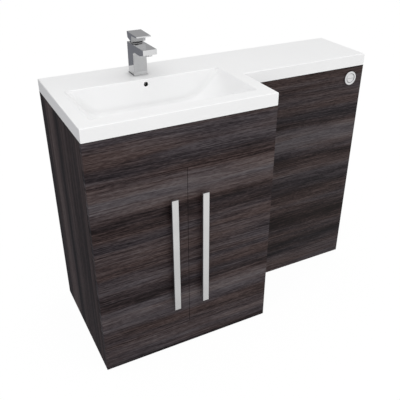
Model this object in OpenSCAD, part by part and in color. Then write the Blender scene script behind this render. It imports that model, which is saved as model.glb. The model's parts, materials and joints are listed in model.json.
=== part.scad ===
// Toilet and basin combination unit: a basin cabinet with two doors beside a
// shallower cistern cabinet, under one L-shaped cast basin top.
// Millimetres. x runs along the front, y towards the wall, z up.

/* [Cabinets] */
// Width of the basin cabinet
vanity_w = 600; // [560:10:700]
// Width of the cistern cabinet
wc_w = 500; // [490:10:600]
// Depth of the basin cabinet with its fronts
vanity_d = 450; // [440:10:500]
// Depth of the cistern cabinet with its front
wc_d = 250; // [240:5:300]
// Height of both cabinets
cabinet_h = 810; // [790:10:860]
// Thickness of the boards
board_t = 18; // [17:0.5:20]
// Height of the fixed front above the doors
fascia_h = 135; // [120:5:180]
// Height of the plinth
plinth_h = 89; // [80:1:120]
// Height of a back rail
rail_h = 100; // [80:5:120]
// Height of the batten behind the plinth
batten_h = 60; // [40:5:70]
// Gap behind the base panel for pipes
service_gap = 60; // [50:5:100]
// Gap around the doors
reveal = 1.5; // [1.5:0.25:4]
// Gap between the doors and the edges of the side panels
front_gap = 2.5; // [2.5:0.25:3.5]

/* [Fasteners] */
// Diameter of a wooden dowel
dowel_d = 8; // [6:1:8]
// Length of a wooden dowel
dowel_l = 30; // [25:1:34]
// Diameter of a hole for a wall screw
wall_hole_d = 7; // [5:0.5:9]
// Distance of a wall screw from the side panel
wall_hole_inset = 60; // [40:5:90]
// Diameter of a bolt that joins the cabinets
join_bolt_d = 6; // [5:1:8]

/* [Handles] */
// Length of a bar handle
handle_l = 410; // [250:10:500]
// Width of the bar
handle_w = 22; // [16:1:28]
// Thickness of the bar
handle_t = 8; // [6:1:10]
// Distance from the door to the front of the bar
handle_out = 22; // [20:1:34]
// Distance between the two legs of a handle
handle_pitch = 320; // [160:32:352]
// Depth of a leg along the bar
handle_leg = 12; // [10:1:16]
// Distance from the free edge of the door to the middle of the bar
handle_inset = 50; // [30:1:80]

/* [Hinges] */
// Diameter of the cup in the door
cup_d = 35; // [35:1:36]
// Depth of the cup
cup_depth = 13.5; // [13.5:0.25:14]
// Distance from the hinge to the end of the door
hinge_inset = 90; // [70:5:140]
// Distance from the pin to the edge of the door
pin_edge = 6.8; // [6.8:0.1:7]
// Depth of the pin behind the back face of the door
pin_depth = 10; // [10:0.1:10.2]

/* [Basin] */
// Thickness of the basin's edge
slab_t = 40; // [30:1:50]
// Thickness of the deck
deck_t = 15; // [12:1:20]
// Width of the hollow edge around the underside
skirt_t = 18; // [15:1:20]
// Rounding of the upper edge
edge_r = 3; // [1:0.5:5]
// Width of the rim at the sides of the bowl
rim_side = 42; // [36:1:60]
// Width of the rim in front of the bowl
rim_front = 50; // [48:1:60]
// Width of the ledge behind the bowl
ledge = 157; // [150:1:165]
// Depth of the bowl to the edge of its floor
bowl_depth = 88; // [70:1:110]
// Fall of the floor towards the waste
floor_fall = 8; // [5:1:12]
// Wall of the bowl
bowl_wall = 12; // [8:1:12]
// Slope of the right end at the back wall
back_right_slope = 43; // [38:1:48]
// Slope of the left end at the back wall
back_left_slope = 50; // [45:1:55]
// Slope of the ends near the front
front_slope = 52; // [50:1:60]
// Rounding between the right end and the floor
right_sweep_r = 110; // [60:5:130]
// Rounding between the left end and the floor
left_sweep_r = 80; // [50:5:90]
// Diameter of the overflow hole
overflow_d = 14; // [10:1:16]
// Depth of the overflow hole below the deck
overflow_drop = 17; // [14:0.5:20]

/* [Mixer] */
// Distance from the wall to the middle of the mixer
tap_from_wall = 94.3; // [85:0.5:100]
// Width of the body
tap_w = 44.6; // [43:0.2:50]
// Depth of the body
tap_d = 46.6; // [44:0.2:52]
// Height of the body above the basin
tap_h = 100; // [90:1:120]
// Reach of the spout from the middle of the body
spout_reach = 109.7; // [90:1:140]
// Thickness of the spout at its tip
spout_tip_t = 14; // [13:0.5:18]
// Fall of the spout's underside from the tip to the body
spout_fall = 8; // [4:1:12]
// Length of the lever
lever_l = 82.5; // [70:0.5:110]
// Width of the lever
lever_w = 47; // [36:1:50]
// Thickness of the lever at its tip
lever_t = 4; // [3:0.5:6]
// Height of the lever above the body
lever_rise = 33; // [30:1:40]
// Diameter of the hole through the deck
tap_hole_d = 35; // [32:1:38]

/* [Waste] */
// Distance from the front of the bowl to the waste
waste_from_front = 130; // [100:5:150]
// Diameter of the waste's flange
waste_flange_d = 64; // [60:1:70]
// Outer diameter of the threaded tail
waste_tail_d = 41.9; // [40:0.1:43]
// Length of the tail below the flange
waste_tail_l = 85; // [80:5:110]
// Travel of the plug
plug_travel = 8; // [5:1:10]

/* [Cistern] */
// Width of the tank
tank_w = 340; // [300:10:360]
// Depth of the tank
tank_d = 140; // [130:2:150]
// Height of the tank
tank_h = 285; // [260:5:290]
// Wall of the tank
tank_wall = 4; // [3:0.5:5]
// Distance from the top of the cabinets to the shelf that carries the tank
shelf_drop = 378; // [372:1:385]
// Distance from the shelf down to the flush pipe's outlet
flush_drop = 112; // [102:5:132]
// Outer diameter of the flush pipe
flush_pipe_d = 44; // [40:1:48]
// Radius of the bend in the flush pipe
flush_bend_r = 50; // [40:1:52]
// Lift of the flush seal
seal_lift = 25; // [15:1:30]
// Drop of the float
float_drop = 60; // [40:5:80]

/* [Flush button] */
// Diameter of the bezel
bezel_d = 50; // [46:1:60]
// Height of the bezel on the front
bezel_h = 5; // [3:0.5:7]
// Distance from the top of the front to the button
button_drop = 41; // [36:1:60]
// Distance from the side of the cabinet to the button
button_inset = 55; // [50:1:80]
// Travel of a button
button_travel = 4; // [3:0.5:5]

/* [Hidden] */
$fn = 64;

fit = 0.1;                     // radial clearance of a pin in its hole
slack = 0.3;                   // clearance between faces that move past each other
total_w = vanity_w + wc_w;
total_d = vanity_d + handle_out;
slab_top = cabinet_h + slab_t;
shelf_z = cabinet_h - shelf_drop;
flush_outlet_z = shelf_z - flush_drop;
door_back = -(vanity_d - board_t);
side_front = door_back + front_gap;
wc_front_back = -(wc_d - board_t);
wood = [0.24, 0.21, 0.20];
board_core = [0.30, 0.27, 0.26];
resin = [0.95, 0.95, 0.94];
chrome = [0.78, 0.79, 0.81];
steel = [0.70, 0.71, 0.72];
plastic = [0.90, 0.90, 0.88];
rubber = [0.12, 0.12, 0.12];

// Everything is drawn from the left end, the wall and the floor, and then
// moved so that the middle of the footprint is the origin.
module placed() {
    translate([-total_w / 2, total_d / 2, 0]) children();
}

// A board between two corners
module board(low, high) {
    translate(low) cube(high - low);
}

// A rod along x, y or z from a point
module rod_x(at, r, l) {
    translate(at) rotate([0, 90, 0]) cylinder(r = r, h = l);
}
module rod_y(at, r, l) {
    translate(at) rotate([-90, 0, 0]) cylinder(r = r, h = l);
}
module rod_z(at, r, l) {
    translate(at) cylinder(r = r, h = l);
}

// Points of an arc around a centre
function arc(c, r, from, to, n = 8) =
    [for (i = [0:n]) c + r * [cos(from + (to - from) * i / n), sin(from + (to - from) * i / n)]];

// ---------------------------------------------------------------- carcass

back_rail_z = [cabinet_h - rail_h, plinth_h + board_t];
base_back = -service_gap;
rail_dowel_z = [rail_h * 0.25, rail_h * 0.75];
dowel_inset = 50;              // from a dowel to the edge of a level board
// Dowels at each end of the boards, as [y, z]
vanity_dowels = concat(
    [for (z = back_rail_z, dz = rail_dowel_z) [-board_t / 2, z + dz]],
    [for (y = [base_back - dowel_inset, side_front + dowel_inset]) [y, plinth_h + board_t / 2]],
    [for (dz = [0.3, 0.8]) [door_back + board_t / 2 + front_gap, cabinet_h - fascia_h * dz]]);
wc_dowels = concat(
    [for (z = back_rail_z, dz = rail_dowel_z) [-board_t / 2, z + dz]],
    [for (y = [-board_t - dowel_inset, wc_front_back + board_t + dowel_inset]) [y, shelf_z - board_t / 2]]);
dowel_in_side = 10;

module dowel_holes(points, x, side) {
    for (p = points)
        rod_x([side > 0 ? x : x - dowel_in_side - slack, p[0], p[1]],
            dowel_d / 2 + fit, dowel_in_side + slack);
}
module end_holes(points, x, side) {
    depth = dowel_l - dowel_in_side + slack;
    for (p = points)
        rod_x([side > 0 ? x : x - depth, p[0], p[1]], dowel_d / 2 + fit, depth);
}
module dowels(points, x, side) {
    for (p = points)
        rod_x([side > 0 ? x - dowel_in_side : x - dowel_l + dowel_in_side, p[0], p[1]], dowel_d / 2, dowel_l);
}

join_inset = 70;               // from a back rail's edge to a joining bolt
join_points = [for (z = [back_rail_z[0] - join_inset, back_rail_z[1] + rail_h + join_inset]) [-wc_d / 2, z]];
join_head_d = join_bolt_d + 7;
join_head_t = 2;
module join_holes(x) {
    for (p = join_points)
        rod_x([x, p[0], p[1]], join_bolt_d / 2 + fit, board_t);
}

module left_side_panel() {
    color(wood) placed() difference() {
        board([0, side_front, 0], [board_t, 0, cabinet_h]);
        dowel_holes(vanity_dowels, board_t, -1);
        hinge_plate_holes(board_t, -1);
    }
}
module middle_side_panel() {
    color(wood) placed() difference() {
        board([vanity_w - board_t, side_front, 0], [vanity_w, 0, cabinet_h]);
        dowel_holes(vanity_dowels, vanity_w - board_t, 1);
        join_holes(vanity_w - board_t);
        hinge_plate_holes(vanity_w - board_t, 1);
    }
}
module base_panel() {
    color(board_core) placed() difference() {
        board([board_t, side_front, plinth_h], [vanity_w - board_t, base_back, plinth_h + board_t]);
        both_ends(vanity_dowels);
    }
}
module both_ends(points) {
    end_holes(points, board_t, 1);
    end_holes(points, vanity_w - board_t, -1);
}
module both_wc_ends(points) {
    end_holes(points, vanity_w + board_t, 1);
    end_holes(points, total_w - board_t, -1);
}
rail_front_top = cabinet_h - fascia_h + reveal;
module front_rail() {
    color(board_core) placed() difference() {
        board([board_t, door_back, rail_front_top], [vanity_w - board_t, door_back + board_t, cabinet_h]);
        both_ends(vanity_dowels);
    }
}
module wall_holes(x0, x1) {
    for (x = [x0 + wall_hole_inset, x1 - wall_hole_inset])
        rod_y([x, -board_t, cabinet_h - rail_h / 2], wall_hole_d / 2, board_t);
}
module vanity_back_rails() {
    color(board_core) placed() difference() {
        for (z = back_rail_z)
            board([board_t, -board_t, z], [vanity_w - board_t, 0, z + rail_h]);
        both_ends(vanity_dowels);
        wall_holes(board_t, vanity_w - board_t);
    }
}
module fascia_panel() {
    color(wood) placed()
        board([0, -vanity_d, cabinet_h - fascia_h], [vanity_w, door_back, cabinet_h]);
}
module plinth_panel() {
    color(wood) placed()
        board([0, -vanity_d, 0], [vanity_w, door_back, plinth_h]);
}
module front_battens() {
    color(board_core) placed() {
        board([board_t, door_back, plinth_h - batten_h], [vanity_w - board_t, door_back + board_t, plinth_h]);
        board([vanity_w + board_t, wc_front_back, 0], [total_w - board_t, wc_front_back + board_t, batten_h]);
    }
}
module wc_left_panel() {
    color(wood) placed() difference() {
        board([vanity_w, wc_front_back, 0], [vanity_w + board_t, 0, cabinet_h]);
        dowel_holes(wc_dowels, vanity_w + board_t, -1);
        join_holes(vanity_w);
    }
}
module wc_right_panel() {
    color(wood) placed() difference() {
        board([total_w - board_t, wc_front_back, 0], [total_w, 0, cabinet_h]);
        dowel_holes(wc_dowels, total_w - board_t, 1);
    }
}
module wc_back_rails() {
    color(board_core) placed() difference() {
        for (z = back_rail_z)
            board([vanity_w + board_t, -board_t, z], [total_w - board_t, 0, z + rail_h]);
        both_wc_ends(wc_dowels);
        wall_holes(vanity_w + board_t, total_w - board_t);
    }
}
module carcass_dowels() {
    color([0.80, 0.66, 0.45]) placed() {
        dowels(vanity_dowels, board_t, 1);
        dowels(vanity_dowels, vanity_w - board_t, -1);
        dowels(wc_dowels, vanity_w + board_t, 1);
        dowels(wc_dowels, total_w - board_t, -1);
    }
}
module joining_bolts() {
    color(steel) placed() for (p = join_points) {
        rod_x([vanity_w - board_t, p[0], p[1]], join_bolt_d / 2, 2 * board_t);
        for (x = [vanity_w - board_t - join_head_t, vanity_w + board_t])
            rod_x([x, p[0], p[1]], join_head_d / 2, join_head_t);
    }
}

// ---------------------------------------------------------------- doors

door_w = (vanity_w - reveal) / 2;
door_low = plinth_h + reveal;
door_high = cabinet_h - fascia_h - reveal;
door_mid = (door_low + door_high) / 2;
hinge_z = [door_low + hinge_inset, door_high - hinge_inset];
pin_r = 1.25;
cup_wall = 0.8;
cup_edge = 3;                  // from the edge of the door to the cup
cup_x = cup_edge + cup_d / 2;
// The outer side of the pin ends inside the cup's wall
pin_l = 2 * sqrt(pow(cup_d / 2, 2) - pow(cup_x - pin_edge + pin_r, 2)) - 2 * slack;
plate_t = 1;
ear_l = 54;                    // length of the cup's plate
handle_screw_d = 4;
handle_screw_in = 9;           // length of the screw inside the leg
handle_head_d = 8;
handle_head_t = 2.4;
bumper_d = 9;
bumper_t = front_gap - slack;
bumper_inset = 20;             // from the free edge of the door

// Draws for the left door, or mirrored for the right one
module on_side(right) {
    if (right) translate([vanity_w, 0, 0]) mirror([1, 0, 0]) children();
    else children();
}
module door(right) {
    color(wood) placed() on_side(right) difference() {
        board([0, -vanity_d, door_low], [door_w, door_back, door_high]);
        for (z = hinge_z)
            rod_y([cup_x, door_back - cup_depth - fit, z], cup_d / 2 + fit, cup_depth + 2 * fit);
        for (z = leg_z)
            rod_y([handle_x, -vanity_d, z], handle_screw_d / 2 + fit, board_t);
        ear_screw_holes();
    }
}
module left_door() {
    door(false);
}
module right_door() {
    door(true);
}

handle_x = door_w - handle_inset;
leg_z = [door_mid - handle_pitch / 2, door_mid + handle_pitch / 2];
handle_edge = 1;               // chamfer along the bar
handle_step = 2;               // from the side of the bar to the side of a leg
module bar_section(w, t, c) {
    polygon([[-w / 2, 0], [w / 2, 0], [w / 2, t - c], [w / 2 - c, t], [-w / 2 + c, t], [-w / 2, t - c]]);
}
module handle(right) {
    leg_l = handle_out - handle_t;
    color(steel) placed() on_side(right) difference() {
        union() {
            translate([handle_x, -vanity_d - leg_l, door_mid - handle_l / 2])
                linear_extrude(handle_l) mirror([0, 1]) bar_section(handle_w, handle_t, handle_edge);
            for (z = leg_z)
                board([handle_x - handle_w / 2 + handle_step, -vanity_d - leg_l, z - handle_leg / 2],
                      [handle_x + handle_w / 2 - handle_step, -vanity_d, z + handle_leg / 2]);
        }
        for (z = leg_z)
            rod_y([handle_x, -vanity_d - handle_screw_in - slack, z],
                handle_screw_d / 2 + fit, handle_screw_in + slack);
    }
}
module left_handle() {
    handle(false);
}
module right_handle() {
    handle(true);
}
module cross_slot(at, l) {
    for (a = [0, 90])
        translate(at) rotate([0, a, 0]) cube([l, 2.4, 1], center = true);
}
module door_screws(right) {
    color(steel) placed() on_side(right) {
        for (z = leg_z) difference() {
            union() {
                rod_y([handle_x, -vanity_d - handle_screw_in, z],
                    handle_screw_d / 2, handle_screw_in + board_t);
                rod_y([handle_x, door_back, z], handle_head_d / 2, handle_head_t);
            }
            cross_slot([handle_x, door_back + handle_head_t, z], 5);
        }
        for (z = hinge_z, dz = [-ear_screw_z, ear_screw_z]) {
            rod_y([cup_x, door_back - ear_screw_l, z + dz], ear_screw_d / 2, ear_screw_l + plate_t);
            rod_y([cup_x, door_back + plate_t, z + dz], ear_screw_d / 2 + 1.2, 0.9);
        }
    }
}
module left_door_screws() {
    door_screws(false);
}
module right_door_screws() {
    door_screws(true);
}
module door_bumpers() {
    color([0.85, 0.85, 0.85]) placed() for (right = [false, true]) on_side(right)
        rod_y([door_w - bumper_inset, side_front - bumper_t, plinth_h + board_t / 2], bumper_d / 2, bumper_t);
}

// Concealed hinge: a round cup in the door, a pin across it, and a cranked arm
// that reaches round the side panel's edge into the cup.
ear_in = 4;                    // from the edge of the door to the plate
ear_w = 26;
ear_screw_z = 22.5;
ear_screw_d = 4;
ear_screw_l = 11;
module ear_screw_holes() {
    for (z = hinge_z, dz = [-ear_screw_z, ear_screw_z])
        rod_y([cup_x, door_back - ear_screw_l - slack, z + dz], ear_screw_d / 2 + fit, ear_screw_l + slack);
}
module hinge_cups(right) {
    inner_r = cup_d / 2 - cup_wall;
    color(steel) placed() on_side(right) {
        for (z = hinge_z) difference() {
            union() {
                rod_y([cup_x, door_back - cup_depth, z], cup_d / 2, cup_depth);
                board([ear_in, door_back, z - ear_l / 2],
                      [ear_in + ear_w, door_back + plate_t, z + ear_l / 2]);
            }
            rod_y([cup_x, door_back - cup_depth + cup_wall, z], inner_r, cup_depth + plate_t);
            rod_z([pin_edge, door_back - pin_depth, z - pin_l / 2], pin_r + fit / 2, pin_l);
            for (dz = [-ear_screw_z, ear_screw_z])
                rod_y([cup_x, door_back - 1, z + dz], ear_screw_d / 2 + fit, plate_t + 2);
        }
    }
}
module left_hinge_cups() {
    hinge_cups(false);
}
module right_hinge_cups() {
    hinge_cups(true);
}
module hinge_pins(right) {
    color(steel) placed() on_side(right) for (z = hinge_z)
        rod_z([pin_edge, door_back - pin_depth, z - pin_l / 2], pin_r, pin_l);
}
module left_hinge_pins() {
    hinge_pins(false);
}
module right_hinge_pins() {
    hinge_pins(true);
}

knuckle_r = 2.5;
arm_w = 6;                     // width of the neck inside the cup
neck_x = board_t + 5;          // where the neck turns back into the cabinet
neck_t = 3.3;
arm_plate_t = 2.5;
arm_body_w = 18;
arm_l = 58;
arm_front = side_front + 5;    // front end of the wide part of the arm
module neck_profile() {
    top = -pin_depth - knuckle_r;
    polygon([
        [pin_edge, top], [neck_x + neck_t - 1.5, top], [neck_x + neck_t, top + 1.5],
        [neck_x + neck_t, arm_front - door_back + 6], [neck_x, arm_front - door_back + 6],
        [neck_x, top + neck_t + 2], [neck_x - 2, top + neck_t], [pin_edge, top + neck_t]]);
}
module hinge_arm(z) {
    difference() {
        union() {
            translate([0, door_back, z - arm_w / 2]) linear_extrude(arm_w) neck_profile();
            rod_z([pin_edge, door_back - pin_depth, z - arm_w / 2], knuckle_r, arm_w);
            board([board_t + arm_plate_t, arm_front, z - arm_body_w / 2],
                  [neck_x + neck_t, arm_front + arm_l, z + arm_body_w / 2]);
        }
        rod_z([pin_edge, door_back - pin_depth, z - arm_w], pin_r + fit, 2 * arm_w);
        board([board_t + arm_plate_t, arm_front + 3, z - arm_body_w / 2 + 1.5],
              [neck_x + neck_t - 1.5, arm_front + arm_l - 3, z + arm_body_w / 2 - 1.5]);
    }
}
module hinge_arms() {
    color(steel) placed() for (right = [false, true]) on_side(right)
        for (z = hinge_z) hinge_arm(z);
}
plate_back = arm_front + arm_l;
plate_screw_y = arm_front + 12;
plate_screw_z = 16;
plate_screw_d = 4;
plate_screw_l = 12;            // length in the side panel
module hinge_plate_holes(x, side) {
    depth = plate_screw_l + slack;
    for (z = hinge_z, dz = [-plate_screw_z, plate_screw_z])
        rod_x([side > 0 ? x : x - depth, plate_screw_y, z + dz], plate_screw_d / 2 + fit, depth);
}
module hinge_plates() {
    color(steel) placed() for (right = [false, true]) on_side(right) for (z = hinge_z) difference() {
        union() {
            board([board_t, arm_front, z - arm_body_w / 2],
                  [board_t + arm_plate_t, plate_back, z + arm_body_w / 2]);
            board([board_t, plate_screw_y - 7, z - plate_screw_z - 6],
                  [board_t + arm_plate_t, plate_screw_y + 7, z + plate_screw_z + 6]);
        }
        for (dz = [-plate_screw_z, plate_screw_z])
            rod_x([board_t - 1, plate_screw_y, z + dz], plate_screw_d / 2 + fit, arm_plate_t + 2);
    }
}
module hinge_plate_screws() {
    color(steel) placed() for (right = [false, true]) on_side(right)
        for (z = hinge_z, dz = [-plate_screw_z, plate_screw_z]) {
            rod_x([board_t - plate_screw_l, plate_screw_y, z + dz],
                plate_screw_d / 2, plate_screw_l + arm_plate_t);
            rod_x([board_t + arm_plate_t, plate_screw_y, z + dz], plate_screw_d / 2 + 1.6, 1.4);
        }
}

// ---------------------------------------------------------------- basin top

// The L-shaped outline, drawn in by a margin
function basin_outline(m) = [
    [m, -m], [m, -vanity_d + m], [vanity_w - m, -vanity_d + m],
    [vanity_w - m, -wc_d + m], [total_w - m, -wc_d + m], [total_w - m, -m]];

// Block with a rounded upper edge, from the wall's left corner
module edged_block(w, d) {
    steps = 4;
    margins = concat([0], [for (i = [0:steps]) edge_r * (1 - cos(90 * i / steps))]);
    heights = concat([cabinet_h],
        [for (i = [0:steps]) slab_top - edge_r + edge_r * sin(90 * i / steps)]);
    last = len(margins) - 1;
    points = [for (k = [0:last]) let (m = margins[k], z = heights[k])
        each [[m, -m, z], [w - m, -m, z], [w - m, -d + m, z], [m, -d + m, z]]];
    sides = [for (k = [0:last - 1], i = [0:3])
        [4 * k + i, 4 * k + (i + 1) % 4, 4 * (k + 1) + (i + 1) % 4, 4 * (k + 1) + i]];
    polyhedron(points, concat([[3, 2, 1, 0]], sides, [[for (i = [0:3]) 4 * last + i]]));
}
module slab_solid() {
    edged_block(vanity_w, vanity_d);
    edged_block(total_w, wc_d);
}

// The bowl is a loft from a sharp rectangle down to a floor whose back corners
// are drawn in further than its front corners. Each end slopes straight down
// and then sweeps into the floor.
bowl_x = [rim_side, vanity_w - rim_side];
bowl_y = [-ledge, -(vanity_d - rim_front)];
back_draft = 2;
front_draft = 6;
fan_reach = 210;               // from the back of the bowl to the front end of a fan
front_sweep_r = 50;
waste_x = vanity_w / 2;
waste_y = bowl_y[1] + waste_from_front;
recess_r = waste_flange_d / 2 + 4;
floor_z = slab_top - bowl_depth - floor_fall;

// Inset at which an end with slope a and sweep r meets the floor
function sweep_foot(a, r) = bowl_depth / tan(a) + r * tan(a / 2);
// Depth of such an end at a share of its sweep
function end_depth(a, r, share) = bowl_depth - r * (1 - cos(a * (1 - share)));
sweep_n = 7;
// Inset of such an end at a depth
function inset_at(a, r, d) =
    d <= end_depth(a, r, 0) ? d / tan(a)
        : sweep_foot(a, r) - r * sin(acos(max(-1, 1 - (bowl_depth - d) / r)));
bowl_depths = concat([0, bowl_depth * 0.3],
    [for (i = [0:sweep_n]) end_depth(back_right_slope, right_sweep_r, i / sweep_n)]);
function bowl_section(d, grow) =
    let (back = bowl_y[0] - d * tan(back_draft) + grow,
         front = bowl_y[1] + d * tan(front_draft) - grow,
         fan = bowl_y[0] - fan_reach * d / bowl_depth,
         lb = bowl_x[0] + inset_at(back_left_slope, left_sweep_r, d) - grow,
         lf = bowl_x[0] + inset_at(front_slope, front_sweep_r, d) - grow,
         rb = bowl_x[1] - inset_at(back_right_slope, right_sweep_r, d) + grow,
         rf = bowl_x[1] - inset_at(front_slope, front_sweep_r, d) + grow)
    [[lb, back], [lf, fan], [lf, front], [rf, front], [rf, fan], [rb, back]];
module bowl_loft(grow, drop, top) {
    thin = 0.01;
    hull() {
        for (d = bowl_depths)
            translate([0, 0, slab_top - d - drop]) linear_extrude(thin) polygon(bowl_section(d, grow));
        translate([waste_x, waste_y, floor_z - drop]) cylinder(r = recess_r + grow, h = thin, $fn = 32);
        if (top > 0)
            translate([0, 0, slab_top - thin]) linear_extrude(thin) polygon(bowl_section(0, grow));
    }
}
duct_w = 22;                   // overflow duct, inside
duct_gap = 7;
duct_wall = 4;
duct_y = bowl_y[0] + bowl_wall;
duct_low = floor_z - bowl_wall - duct_gap - duct_wall;
overflow_z = slab_top - overflow_drop;
module duct(grow) {
    x = waste_x;
    w = duct_w / 2 + grow;
    board([x - w, duct_y - grow, duct_low + duct_wall - grow],
          [x + w, duct_y + duct_gap + grow, overflow_z + overflow_d / 2 + grow]);
    board([x - w, waste_y, duct_low + duct_wall - grow],
          [x + w, duct_y + duct_gap + grow, floor_z - bowl_wall - 2 + grow]);
    translate([x, waste_y, duct_low + duct_wall - grow])
        cylinder(r = waste_tail_d / 2 + duct_wall + grow, h = duct_gap + 2 * grow + bowl_wall / 2);
}
rib_t = board_t;               // half the rib over the two middle panels
module basin_top() {
    color(resin) placed() difference() {
        union() {
            difference() {
                slab_solid();
                translate([0, 0, cabinet_h - 1]) linear_extrude(slab_t - deck_t + 1)
                    polygon(basin_outline(skirt_t));
            }
            difference() {
                bowl_loft(bowl_wall, bowl_wall, 1);
                translate([0, 0, slab_top]) cube([vanity_w * 3, vanity_d * 3, 2], center = true);
            }
            board([vanity_w - rib_t, -wc_d + skirt_t / 2, cabinet_h],
                  [vanity_w + rib_t, -skirt_t / 2, slab_top - deck_t / 2]);
            duct(duct_wall);
        }
        bowl_loft(0, 0, 0);
        duct(0);
        rod_y([waste_x, bowl_y[0] - 6, overflow_z], overflow_d / 2, bowl_wall + 10);
        rod_z([waste_x, -tap_from_wall, slab_top - deck_t - 1], tap_hole_d / 2, deck_t + 2);
        rod_z([waste_x, waste_y, duct_low - 1], waste_tail_d / 2 + 1, 4 * bowl_wall);
    }
}

// ---------------------------------------------------------------- mixer

tap_x = waste_x;
tap_y = -tap_from_wall;
tap_base_t = 3;
tap_top = slab_top + tap_h;
tap_front = tap_y - tap_d / 2;
tap_back = tap_y + tap_d / 2;
spout_tip = tap_y - spout_reach;
spout_blend_r = 11;            // hollow between the spout and the body
aerator_r = 11.5;
aerator_y = spout_tip + aerator_r + 1.5;
chamber_r = 17.8;
chamber_h = 44;
waterway_r = 4;
stud_r = 5;
stud_l = 62;
stud_in = 14;
stud_y = tap_y - 8;
inlet_r = 4.5;                 // thread of a water inlet
inlet_depth = 16;
inlet_dx = [-9, 9];
inlet_y = 6;                   // from the middle of the body to the inlets
feed_r = 3.5;
collar_r = 20;
collar_h = 4.5;
collar_hole_r = 14;

// Half a side view, drawn in [y, z] and pushed along x
module side_extrude(w) {
    translate([tap_x - w / 2, 0, 0]) rotate([90, 0, 90]) linear_extrude(w) children();
}
module tap_profile() {
    tip_low = tap_top - spout_tip_t;
    root_low = tip_low - spout_fall;
    blend = [tap_front - spout_blend_r, root_low - spout_blend_r];
    polygon(concat(
        [[tap_back, slab_top + tap_base_t], [tap_back, tap_top - 1], [tap_back - 1, tap_top]],
        [[spout_tip + 1, tap_top + 1.5], [spout_tip, tap_top + 0.5], [spout_tip, tip_low]],
        [[spout_tip + 2 * aerator_r + 6, root_low + 0.6]],
        arc(blend, spout_blend_r, 90, 0),
        [[tap_front, slab_top + tap_base_t]]));
}
module tap_body() {
    chamber_z = tap_top - chamber_h;
    color(chrome) placed() difference() {
        side_extrude(tap_w) tap_profile();
        rod_z([tap_x, tap_y, chamber_z], chamber_r, chamber_h + 2);
        rod_z([tap_x, tap_y, tap_top], collar_r + fit, collar_h);
        for (dx = inlet_dx) {
            rod_z([tap_x + dx, tap_y + inlet_y, slab_top], inlet_r, tap_base_t + inlet_depth);
            rod_z([tap_x + dx, tap_y + inlet_y, slab_top], feed_r, chamber_z - slab_top + 1);
        }
        rod_z([tap_x, stud_y, slab_top + tap_base_t - 1], stud_r + fit, stud_in + 1 + slack);
        rod_y([tap_x, aerator_y, tap_top - 8], waterway_r, tap_y - aerator_y);
        rod_z([tap_x, aerator_y, tap_top - spout_tip_t - spout_fall], aerator_r + fit, spout_fall + 7);
    }
}
module tap_base_plate() {
    margin = 1.8;
    color(chrome) placed() difference() {
        board([tap_x - tap_w / 2 - margin, tap_front - margin, slab_top],
              [tap_x + tap_w / 2 + margin, tap_back + margin, slab_top + tap_base_t]);
        rod_z([tap_x, tap_y, slab_top - 1], tap_hole_d / 2 - 1, tap_base_t + 2);
    }
}
module tap_aerator() {
    low = tap_top - spout_tip_t - 5;
    color(chrome) placed() translate([tap_x, aerator_y, low]) difference() {
        cylinder(r = aerator_r, h = 11);
        translate([0, 0, -1]) cylinder(r = aerator_r - 2, h = 3);
        for (a = [0:45:315]) rotate([0, 0, a]) translate([aerator_r / 2, 0, -1]) cylinder(r = 1, h = 13);
        translate([0, 0, 7]) cylinder(r = aerator_r - 3, h = 5);
    }
}
// The cartridge fills the chamber, with the turret turning in its top
turret_r = 11.8;
pivot_drop = 4;                // lever pivot below the top of the body
pivot_z = tap_top - pivot_drop;
lever_pin_r = 1.5;
stem_w = 8;
stem_l = 28;
turret_low = pivot_z - 6;
module tap_cartridge() {
    low = tap_top - chamber_h;
    color([0.85, 0.85, 0.85]) placed() translate([tap_x, tap_y, low]) difference() {
        cylinder(r = chamber_r - fit, h = chamber_h - pivot_drop);
        translate([0, 0, turret_low - low - fit]) cylinder(r = turret_r + fit, h = chamber_h);
        for (dx = inlet_dx) translate([dx, inlet_y, -1]) cylinder(r = feed_r, h = 12);
        translate([0, 0, tap_top - 8 - low]) rotate([90, 0, 0]) cylinder(r = waterway_r - 1, h = 30);
    }
}
module tap_collar() {
    top = tap_top + collar_h;
    color([0.25, 0.25, 0.27]) placed() translate([tap_x, tap_y, 0]) rotate_extrude()
        polygon([[collar_hole_r, pivot_z + fit], [chamber_r - fit, pivot_z + fit],
                 [chamber_r - fit, tap_top], [collar_r, tap_top],
                 [collar_r, top - 1.5], [collar_r - 1.5, top], [collar_hole_r, top]]);
}
module cartridge_turret() {
    color(plastic) placed() difference() {
        rod_z([tap_x, tap_y, turret_low], turret_r, tap_top - turret_low - 0.5);
        board([tap_x - stem_w / 2 - fit, tap_y - turret_r - 1, pivot_z - stem_w / 2 - slack],
              [tap_x + stem_w / 2 + fit, tap_y + turret_r + 1, tap_top + 1]);
        rod_x([tap_x - turret_r, tap_y, pivot_z], lever_pin_r + fit / 2, 2 * turret_r);
    }
}
module lever_pivot_pin() {
    l = 2 * turret_r - 4;
    color(steel) placed() rod_x([tap_x - l / 2, tap_y, pivot_z], lever_pin_r, l);
}
module lever_stem() {
    color(steel) placed() difference() {
        union() {
            rod_x([tap_x - stem_w / 2, tap_y, pivot_z], stem_w / 2, stem_w);
            board([tap_x - stem_w / 2, tap_y - stem_w / 2, pivot_z],
                  [tap_x + stem_w / 2, tap_y + stem_w / 2, pivot_z + stem_l]);
        }
        rod_x([tap_x - stem_w, tap_y, pivot_z], lever_pin_r + fit, 2 * stem_w);
    }
}
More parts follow.
